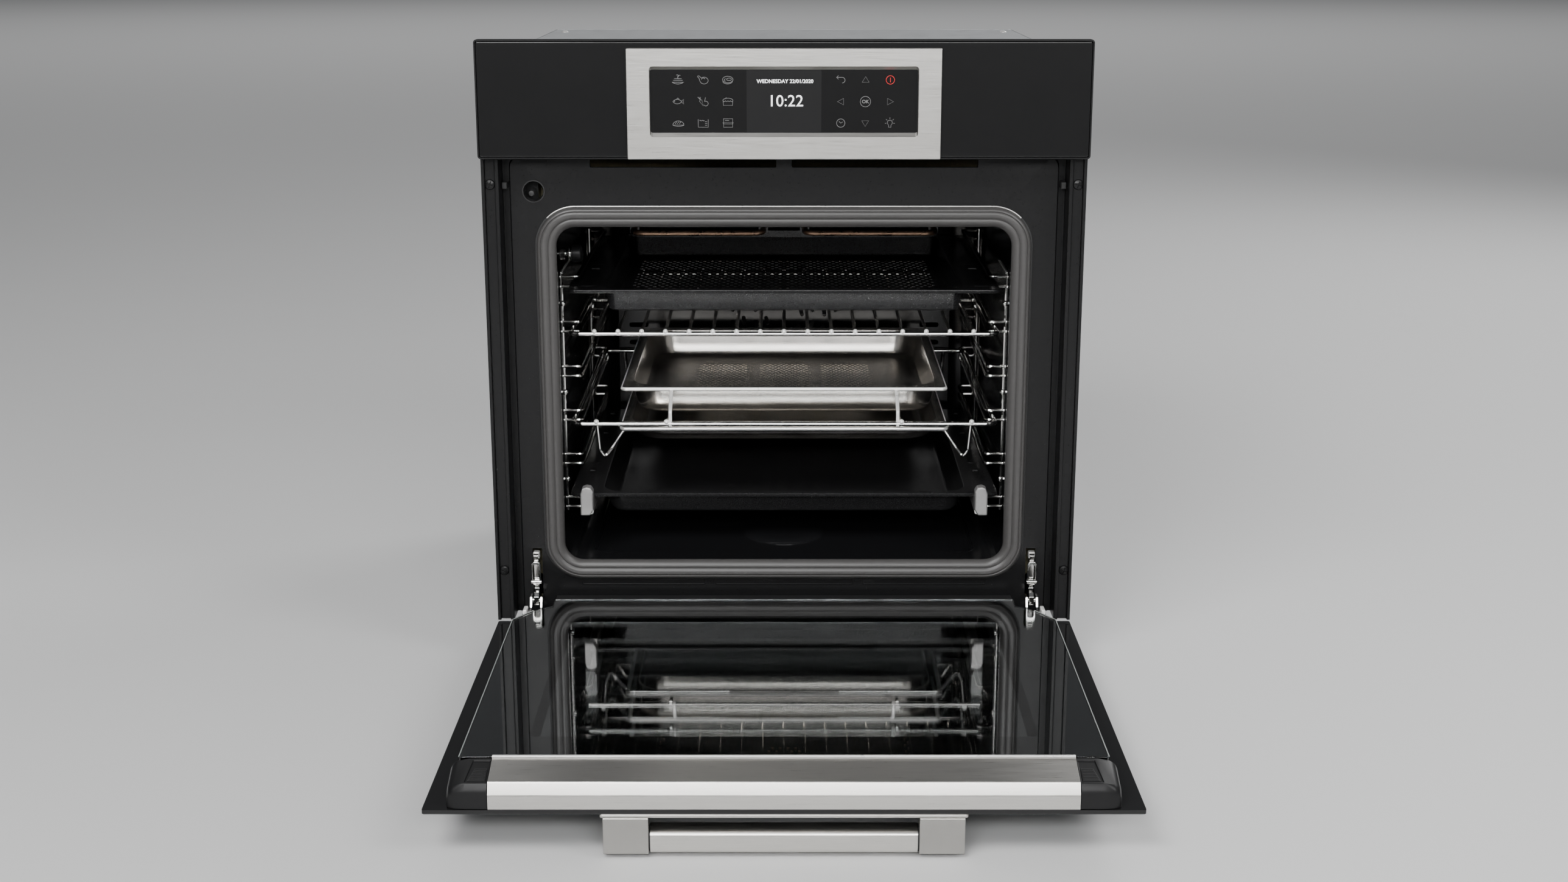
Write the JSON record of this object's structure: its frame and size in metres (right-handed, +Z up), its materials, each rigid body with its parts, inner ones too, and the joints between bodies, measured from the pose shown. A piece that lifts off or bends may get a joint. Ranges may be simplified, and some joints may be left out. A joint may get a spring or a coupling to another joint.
{
  "type": "wall oven",
  "caption": "Built-in wall oven with a drop-down glass door, shelf guides, trays, a wire rack, perforated and solid pans, and a touch control panel over the cavity.",
  "frame": {"origin": "centre of the base plate's underside", "axes": "+X to the right of a person facing the oven, +Y to the back, +Z up"},
  "size_m": [0.595, 0.981, 0.6362],
  "materials": {
    "galvanised": "galvanised sheet",
    "enamel": "dark grey enamel, satin",
    "black_glass": "black printed glass",
    "clear_glass": "clear glass",
    "plastic": "black, matt",
    "steel": "stainless, brushed",
    "aluminium": "as formed",
    "chrome": "bright plated",
    "silicone": "light grey silicone, satin",
    "wool": "mineral wool",
    "element": "heat-stained sheath"
  },
  "bodies": {
    "chassis": {"base_plate": "galvanised", "left_side_panel": "galvanised", "right_side_panel": "galvanised", "back_panel": "galvanised", "top_cover": "galvanised", "front_frame": "enamel", "control_glass": "black_glass", "panel_carrier": "plastic", "panel_steel_frame": "steel", "display_module": "plastic", "control_electronics": "plastic", "terminal_block": "plastic", "blower_housing": "galvanised", "cavity_liner": "enamel", "insulation_blanket": "wool", "cavity_gasket": "silicone", "drain_cover": "enamel", "probe_socket": "chrome", "cavity_lamp": "clear_glass", "fan_cover": "enamel", "convection_motor": "galvanised", "ring_heater": "element", "grill_element": "element", "bottom_heater": "element", "steam_generator": "steel", "left_side_rack": "chrome", "right_side_rack": "chrome", "left_runner_rail": "steel", "right_runner_rail": "steel", "left_hinge_claw": "chrome", "right_hinge_claw": "chrome", "door_switch": "plastic"},
    "door": {"door_outer_glass": "black_glass", "door_middle_glass": "clear_glass", "door_inner_glass": "black_glass", "left_door_profile": "galvanised", "right_door_profile": "galvanised", "left_end_cap": "plastic", "right_end_cap": "plastic", "door_top_trim": "steel", "door_bottom_profile": "plastic", "handle_plate": "steel", "handle_bar": "steel", "left_door_hinge": "galvanised", "right_door_hinge": "galvanised", "left_hinge_spring": "steel", "right_hinge_spring": "steel"},
    "left_latch": {"left_hinge_latch": "chrome"},
    "right_latch": {"right_hinge_latch": "chrome"},
    "upper_tray": {"perforated_tray": "enamel"},
    "grid": {"wire_rack": "chrome"},
    "pan_carrier": {"pan_rack": "chrome", "perforated_pan": "steel", "solid_pan": "steel"},
    "runner_tray": {"deep_tray": "enamel", "left_runner_slide": "steel", "right_runner_slide": "steel"},
    "switch_pin": {"door_switch_plunger": "plastic"},
    "fan": {"convection_wheel": "steel"},
    "blower": {"blower_wheel": "aluminium"}
  },
  "joints": [
    {"name": "door_hinge", "type": "hinge", "parent": "chassis", "child": "door", "pos_m": [0, -0.2595, 0.0205], "axis": [-1, 0, 0], "range_deg": [0, 90], "deforming": ["cavity_gasket"]},
    {"name": "left_latch_hinge", "type": "hinge", "parent": "chassis", "child": "left_latch", "pos_m": [-0.2575, -0.2585, 0.04], "axis": [-1, 0, 0], "range_deg": [-60, 0]},
    {"name": "right_latch_hinge", "type": "hinge", "parent": "chassis", "child": "right_latch", "pos_m": [0.2575, -0.2585, 0.04], "axis": [-1, 0, 0], "range_deg": [-60, 0]},
    {"name": "upper_tray_slide", "type": "slide", "parent": "chassis", "child": "upper_tray", "axis": [0, 1, 0], "range_m": [-0.26, 0]},
    {"name": "wire_rack_slide", "type": "slide", "parent": "chassis", "child": "grid", "axis": [0, 1, 0], "range_m": [-0.26, 0]},
    {"name": "pan_rack_slide", "type": "slide", "parent": "chassis", "child": "pan_carrier", "axis": [0, 1, 0], "range_m": [-0.26, 0]},
    {"name": "bottom_tray_slide", "type": "slide", "parent": "chassis", "child": "runner_tray", "axis": [0, 1, 0], "range_m": [-0.24, 0]},
    {"name": "door_switch_slide", "type": "slide", "parent": "chassis", "child": "switch_pin", "axis": [0, 1, 0], "range_m": [0, 0.0136]},
    {"name": "convection_fan_spin", "type": "hinge", "parent": "chassis", "child": "fan", "pos_m": [0, 0.21, 0.232], "axis": [0, 1, 0], "continuous": true},
    {"name": "cooling_fan_spin", "type": "hinge", "parent": "chassis", "child": "blower", "pos_m": [0, 0.045, 0.5334], "axis": [1, 0, 0], "continuous": true}
  ],
  "couplings": [
    {"joint": "door_switch_slide", "follows": "door_hinge", "m_per_rad": 0.00854}
  ]
}
